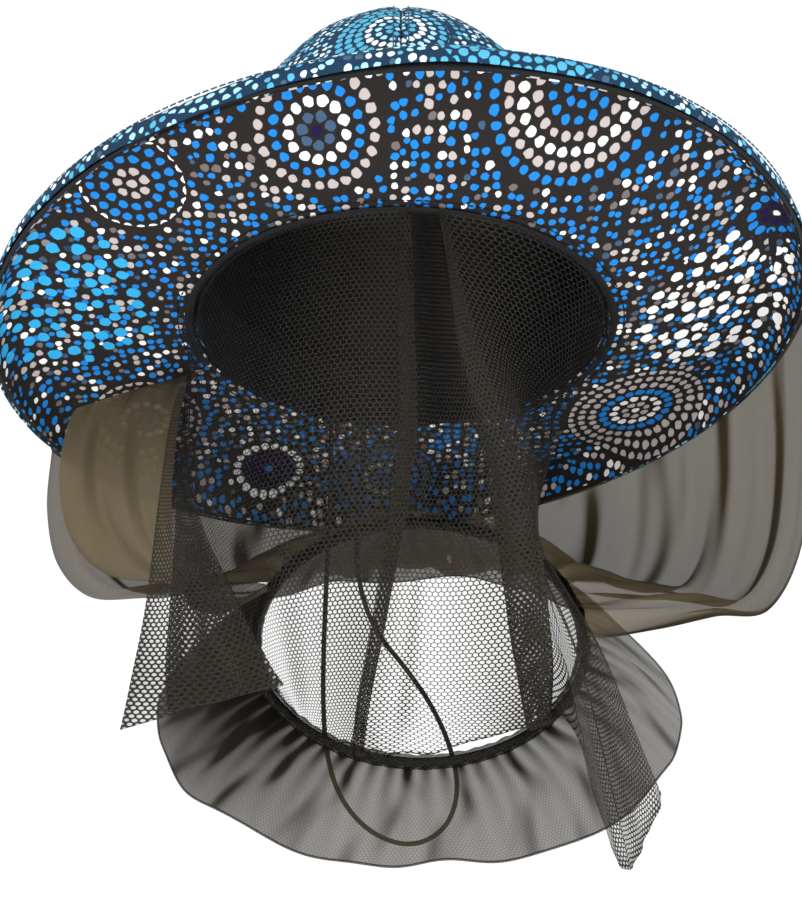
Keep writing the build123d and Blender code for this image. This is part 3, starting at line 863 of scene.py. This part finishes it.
def skirt(name, first, last, node):
    rows, cols = 30, 200
    points = skirt_points(radians(first), radians(last), cols, rows)
    down = np.linspace(0, 1, rows)[:, None]
    turn = np.linspace(radians(first), radians(last), cols)
    # Painted shade: the skirt's colour darkens, and its net grows denser, along fold streaks and at the
    # collar's gathers; it is also darker and denser on the left, less so at the hem.
    shade = 0.14 + 0.3 * fold_shade_streaks((rows, cols), 11, 141 + int(first))
    shade = shade + 0.2 * (1 + gathers(turn)) * np.exp(-3 * down)
    shade = shade + np.clip(0.5 * np.sin(-turn - 0.3), 0, 1) * (1 - 0.6 * down ** 3)
    piece = grid(name, points, uv=laid_out(points), gather_and_fold_shading=shade)
    dress(piece, "skirt_tulle", "net", "neck_band", node)
    return piece


HEM_ROLL = 0.45           # radius of the rolled edge


def rolled_hem():
    turn = all_round(400)
    edge = skirt_points(0, turn[-1], 400, 30)[-1]
    outwards = hem(1, 0, turn) - hem(0, 0, turn)
    outwards /= np.linalg.norm(outwards, axis=1, keepdims=True)
    around = np.append(all_round(8), 0)[:, None, None]
    roll = edge + (np.cos(around) * outwards + np.sin(around) * (0, 0, 1)) * HEM_ROLL * MM
    piece = grid("skirt_hem_roll", roll, closed=True, uv=cloth_uv(9, 401, 0.8, 0.006))
    dress(piece, "net_bound", "net_binding", "neck_band", "skirt_hem")
    return piece


# ---------------------------------------------------------------- cord

CORD_ROUTE = (
    (-33.0, 74.3, -42.0), (-33.0, 71.9, -57.1), (-33.2, 71.3, -78.0), (-34.6, 71.0, -106.0),
    (-36.2, 71.4, -139.0), (-36.9, 71.0, -171.0), (-35.4, 70.6, -198.0), (-28.6, 70.2, -219.5),
    (-14.0, 70.0, -235.5), (5.0, 69.6, -241.5), (21.0, 69.8, -233.5), (27.4, 70.2, -216.5),
    (24.2, 70.6, -196.0), (14.6, 71.0, -174.5), (0.5, 71.6, -155.0), (-10.5, 72.0, -142.5),
    (-18.0, 72.2, -126.0), (-21.6, 72.6, -104.0), (-20.0, 73.6, -80.0), (-17.6, 75.8, -58.6),
    (-17.5, 79.4, -44.3),
)
CORD_DIAMETER = 2.3


def chin_cord():
    curve = bpy.data.curves.new("chin_cord_line", "CURVE")
    curve.dimensions = "3D"
    spline = curve.splines.new("NURBS")
    spline.points.add(len(CORD_ROUTE) - 1)
    for point, place in zip(spline.points, CORD_ROUTE):
        point.co = (*(Vector(place) * MM), 1.0)
    spline.order_u = 3
    spline.use_endpoint_u = True
    spline.resolution_u = 8
    curve.bevel_depth, curve.bevel_resolution = CORD_DIAMETER / 2 * MM, 4
    curve.use_fill_caps = True
    piece = bpy.data.objects.new("chin_cord_line", curve)
    bpy.context.collection.objects.link(piece)
    dress(piece, "cord", "cord", "hat", "chin_cord")


make_camera()
chin_cord()
make_stage()
for gore in range(CROWN_PANELS):
    crown_gore(gore)
crown_inside()
inner_band()
brim_ply("brim_upper_cloth", 0.0, "top", "printed_cotton", "brim_top")
brim_ply("brim_under_cloth", BRIM_THICKNESS, "underside", "dotted_cotton", "brim_underside")
tape("front_tape", ((2.9, -4.5), (4.6, -4.55), (6.3, -4.5)), FRONT_TURNS, 130, 3.5, "front_binding")
tape("back_tape", ((88.2, -11), (88.5, -14.5), (88.2, -18)), BACK_TURNS, 90, 7, "back_binding")
sewing()
front = front_panel()
back = back_panel()
gusset = side_gusset()
casing = gathered_collar()
elastic = elastic_loop()
skirt_front = skirt("skirt_front_net", -90, 90, "skirt_front")
skirt_back = skirt("skirt_back_net", 90, 270, "skirt_back")
hem_roll = rolled_hem()
for piece in (front, back, gusset):
    lift_with(piece)
for piece in (casing, elastic, skirt_front, skirt_back, hem_roll):
    lift_with(piece)
for node in ("brim_interlining", "cord_tab_left", "cord_tab_right"):
    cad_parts[node].data.materials.clear()
    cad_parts[node].data.materials.append(MATERIALS["tape"])
